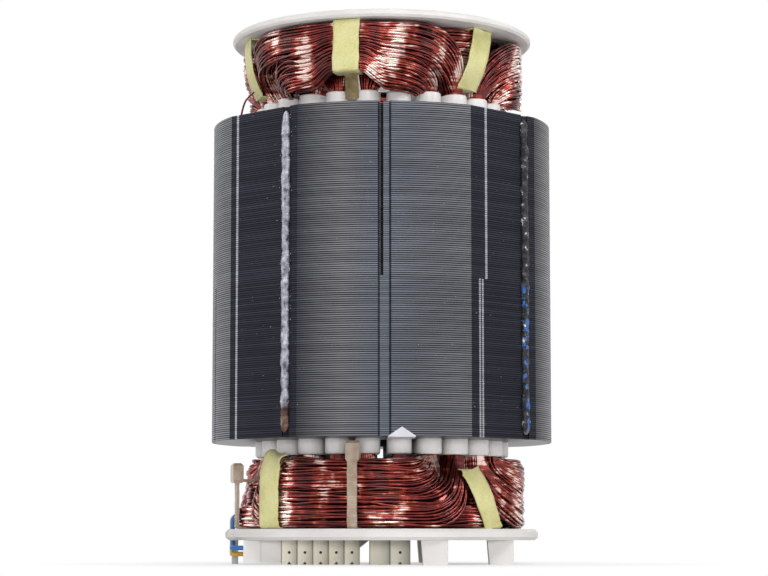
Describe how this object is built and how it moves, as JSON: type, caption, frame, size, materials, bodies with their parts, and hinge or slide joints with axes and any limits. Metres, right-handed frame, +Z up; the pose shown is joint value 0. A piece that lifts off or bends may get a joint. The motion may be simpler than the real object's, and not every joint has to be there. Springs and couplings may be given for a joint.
{
  "type": "pump motor stator",
  "caption": "Upright electric motor stator for a pump: welded laminated core, red enamelled end windings lashed with tape, end ring and terminal plate with sockets and feet.",
  "frame": {"origin": "on the motor axis at the floor, under the feet of the terminal plate", "axes": "+Z up along the motor axis from the terminal plate to the end ring; -Y is the front with the sockets; +X is the right side seen from the front"},
  "size_m": [0.11, 0.1102, 0.1716],
  "materials": {
    "core_steel": "stacked sheet edges, dull grey with dark flats",
    "weld_steel": "rough silver weld bead",
    "winding_wire": "glossy dark red enamel on copper wire",
    "liner_plastic": "white film and moulding",
    "moulded_plastic": "off-white moulding",
    "contact_brass": "plain contact metal",
    "lashing_tape": "pale yellow woven tape",
    "tie_nylon": "aged natural nylon",
    "blue_sleeve": "blue lead insulation",
    "yellow_sleeve": "yellow lead insulation",
    "slot_paper": "white slot paper"
  },
  "bodies": {
    "root": {"lower_core_stack": "core_steel", "upper_core_stack": "core_steel", "weld_bead_left_front": "weld_steel", "weld_bead_right_front": "weld_steel", "weld_bead_right_rear": "weld_steel", "weld_bead_left_rear": "weld_steel", "slot_liners": "liner_plastic", "slot_wedges": "liner_plastic", "front_outer_coil_long": "winding_wire", "front_outer_coil_short": "winding_wire", "right_outer_coil_long": "winding_wire", "right_outer_coil_short": "winding_wire", "left_outer_coil_long": "winding_wire", "left_outer_coil_short": "winding_wire", "right_inner_coil_long": "winding_wire", "right_inner_coil_short": "winding_wire", "rear_inner_coil_long": "winding_wire", "rear_inner_coil_short": "winding_wire", "left_inner_coil_long": "winding_wire", "left_inner_coil_short": "winding_wire", "upper_end_ring": "moulded_plastic", "terminal_plate": "moulded_plastic", "main_socket_block": "moulded_plastic", "two_way_socket_block": "moulded_plastic", "contact_tabs": "contact_brass", "upper_tape_front_outer": "lashing_tape", "upper_tape_right_outer": "lashing_tape", "upper_tape_left_outer": "lashing_tape", "upper_tape_right_inner": "lashing_tape", "upper_tape_rear_inner": "lashing_tape", "upper_tape_left_inner": "lashing_tape", "lower_tape_front_outer": "lashing_tape", "lower_tape_right_outer": "lashing_tape", "lower_tape_left_outer": "lashing_tape", "lower_tape_right_inner": "lashing_tape", "lower_tape_rear_inner": "lashing_tape", "cable_tie_front": "tie_nylon", "cable_tie_left": "tie_nylon", "blue_lead": "blue_sleeve", "yellow_lead": "yellow_sleeve", "loose_paper": "slot_paper"}
  },
  "joints": []
}
